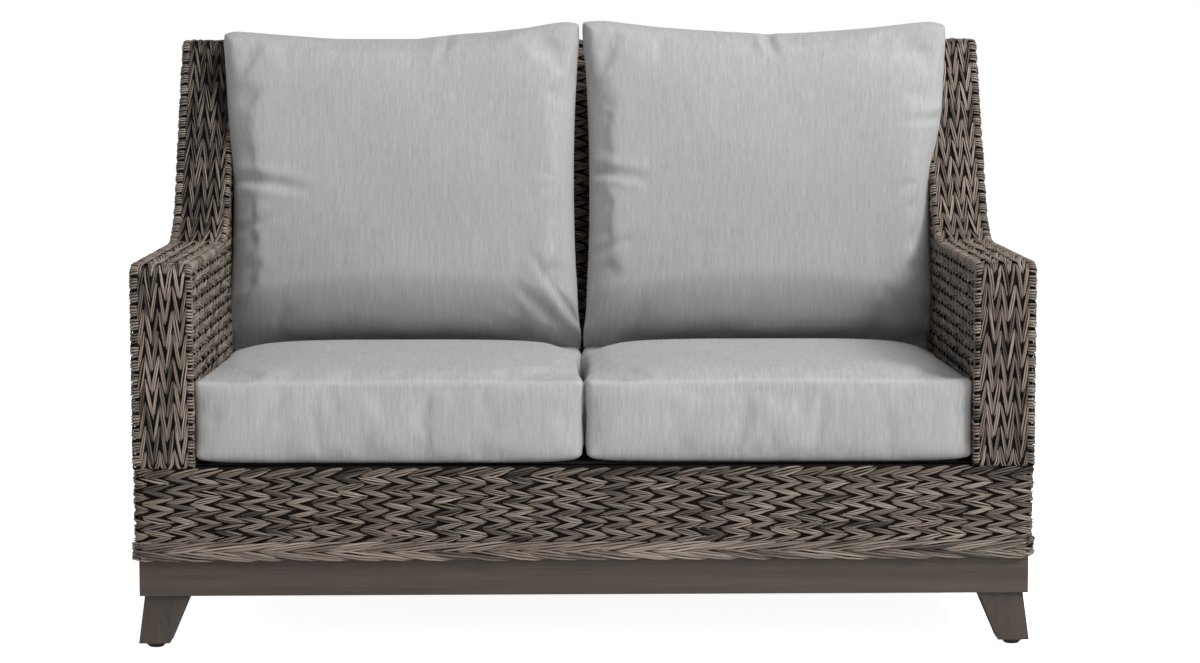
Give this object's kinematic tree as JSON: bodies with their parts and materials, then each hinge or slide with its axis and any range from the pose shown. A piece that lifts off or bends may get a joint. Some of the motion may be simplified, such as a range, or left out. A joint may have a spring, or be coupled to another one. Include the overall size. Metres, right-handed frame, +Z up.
{
  "type": "patio loveseat",
  "caption": "Woven patio loveseat with wing arms, a reclined back, loose seat and back cushions, and a wood-look base band on splayed legs.",
  "frame": {"origin": "on the floor, under the middle of the loveseat's bounding box", "axes": "+X to the right of someone facing the loveseat, -Y towards that person, +Z up"},
  "size_m": [1.45, 0.9, 1.0025],
  "materials": {
    "dark_wood_finish": "brushed wood-look powder coat",
    "glide_plastic": "moulded",
    "woven_resin": "woven round resin strands in mixed greys and browns",
    "cushion_fabric": "woven outdoor canvas with fine vertical slubs",
    "cushion_foam": "open-cell foam",
    "zip_tape": "woven tape with a coil",
    "webbing": "elastic webbing",
    "bolt_steel": "plain stainless",
    "frame_aluminium": "dark powder coat"
  },
  "bodies": {
    "frame": {"apron_back": "dark_wood_finish", "apron_front": "dark_wood_finish", "apron_left": "dark_wood_finish", "apron_right": "dark_wood_finish", "arm_cap_left": "woven_resin", "arm_cap_right": "woven_resin", "back_post_left": "frame_aluminium", "back_post_right": "frame_aluminium", "back_rail_bottom": "frame_aluminium", "back_rail_top": "frame_aluminium", "back_upright_left": "frame_aluminium", "back_upright_right": "frame_aluminium", "braid_back": "woven_resin", "braid_front": "woven_resin", "braid_left": "woven_resin", "braid_right": "woven_resin", "corner_plates": "frame_aluminium", "glide_back_left": "glide_plastic", "glide_back_right": "glide_plastic", "glide_front_left": "glide_plastic", "glide_front_right": "glide_plastic", "hoop_inner_left": "frame_aluminium", "hoop_inner_right": "frame_aluminium", "hoop_outer_left": "frame_aluminium", "hoop_outer_right": "frame_aluminium", "leg_back_left": "dark_wood_finish", "leg_back_right": "dark_wood_finish", "leg_bolts": "bolt_steel", "leg_front_left": "dark_wood_finish", "leg_front_right": "dark_wood_finish", "rail_lip": "woven_resin", "seat_crossbar_left": "frame_aluminium", "seat_crossbar_right": "frame_aluminium", "seat_rail_back": "frame_aluminium", "seat_rail_front": "frame_aluminium", "seat_rail_left": "frame_aluminium", "seat_rail_right": "frame_aluminium", "straps_cross": "webbing", "straps_long": "webbing", "weave_arm_inner_left": "woven_resin", "weave_arm_inner_right": "woven_resin", "weave_back_inner": "woven_resin", "weave_back_outer": "woven_resin", "weave_back_top": "woven_resin", "weave_front": "woven_resin", "weave_side_left": "woven_resin", "weave_side_right": "woven_resin"},
    "seat_cushion_left": {"seat_cover_left": "cushion_fabric", "seat_core_left": "cushion_foam", "seat_zip_left": "zip_tape"},
    "seat_cushion_right": {"seat_cover_right": "cushion_fabric", "seat_core_right": "cushion_foam", "seat_zip_right": "zip_tape"},
    "back_cushion_left": {"back_cover_left": "cushion_fabric", "back_core_left": "cushion_foam", "back_zip_left": "zip_tape"},
    "back_cushion_right": {"back_cover_right": "cushion_fabric", "back_core_right": "cushion_foam", "back_zip_right": "zip_tape"}
  },
  "joints": [
    {"name": "seat_cushion_left_pull", "type": "slide", "parent": "frame", "child": "seat_cushion_left", "axis": [0, -0.9998, 0.0175], "range_m": [0, 0.66]},
    {"name": "seat_cushion_right_pull", "type": "slide", "parent": "frame", "child": "seat_cushion_right", "axis": [0, -0.9998, 0.0175], "range_m": [0, 0.66]},
    {"name": "back_cushion_left_lift", "type": "slide", "parent": "frame", "child": "back_cushion_left", "axis": [0, 0.1908, 0.9816], "range_m": [0, 0.6]},
    {"name": "back_cushion_right_lift", "type": "slide", "parent": "frame", "child": "back_cushion_right", "axis": [0, 0.1908, 0.9816], "range_m": [0, 0.6]}
  ]
}
